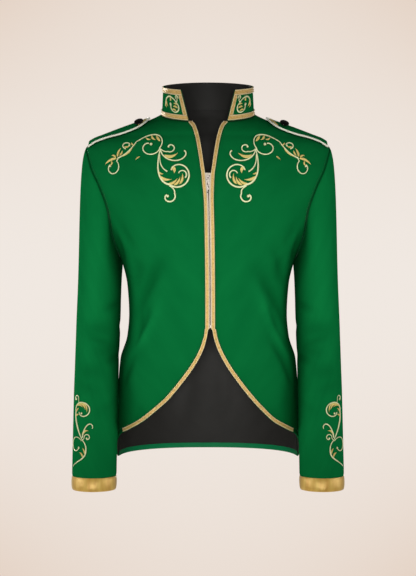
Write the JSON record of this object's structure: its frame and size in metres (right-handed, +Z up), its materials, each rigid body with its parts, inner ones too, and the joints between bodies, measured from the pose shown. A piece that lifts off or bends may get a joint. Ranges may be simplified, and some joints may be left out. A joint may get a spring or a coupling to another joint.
{
  "type": "renaissance jacket",
  "caption": "Fitted historic costume jacket with a stand collar, zip front, curved cutaway hem, epaulettes, satin cuffs and braid trims, hollow as worn.",
  "frame": {"origin": "middle of the neck's base, between the wearer's shoulders, where the wearer holds the jacket up", "axes": "+X is the wearer's left, -Y is the front, +Z is up"},
  "size_m": [0.4902, 0.2335, 0.7511],
  "materials": {
    "green_cloth": "smooth satin-backed cloth with a soft sheen",
    "green_facing": "satin hem facing",
    "black_lining": "smooth lining",
    "gold_braid": "woven braid with pale edges",
    "gold_satin": "satin with soft creases",
    "cream_cord": "satin piping cord",
    "black_button": "polished",
    "zip_tape": "woven tape",
    "zip_metal": "polished pale metal"
  },
  "bodies": {
    "jacket": {"back": "green_cloth", "back_hem_facing": "green_facing", "back_lining": "black_lining", "button_left": "black_button", "button_right": "black_button", "collar": "green_cloth", "collar_lining": "black_lining", "collar_trim_base": "gold_braid", "collar_trim_left": "gold_braid", "collar_trim_right": "gold_braid", "collar_trim_top": "gold_braid", "cuff_left": "gold_satin", "cuff_right": "gold_satin", "epaulette_left": "green_cloth", "epaulette_right": "green_cloth", "epaulette_piping_left": "cream_cord", "epaulette_piping_right": "cream_cord", "front_left": "green_cloth", "front_right": "green_cloth", "front_trim_left": "gold_braid", "front_trim_right": "gold_braid", "sleeve_left": "green_cloth", "sleeve_right": "green_cloth", "zip_slider": "zip_metal", "zip_stop": "zip_metal", "zip_tape_left": "zip_tape", "zip_tape_right": "zip_tape"},
    "zip_pull": {"zip_pull": "zip_metal"}
  },
  "joints": [
    {"name": "zip_pull_swing", "type": "hinge", "parent": "jacket", "child": "zip_pull", "pos_m": [0.00006, -0.10975, -0.12855], "axis": [-1, 0, 0], "range_deg": [0, 170]}
  ]
}
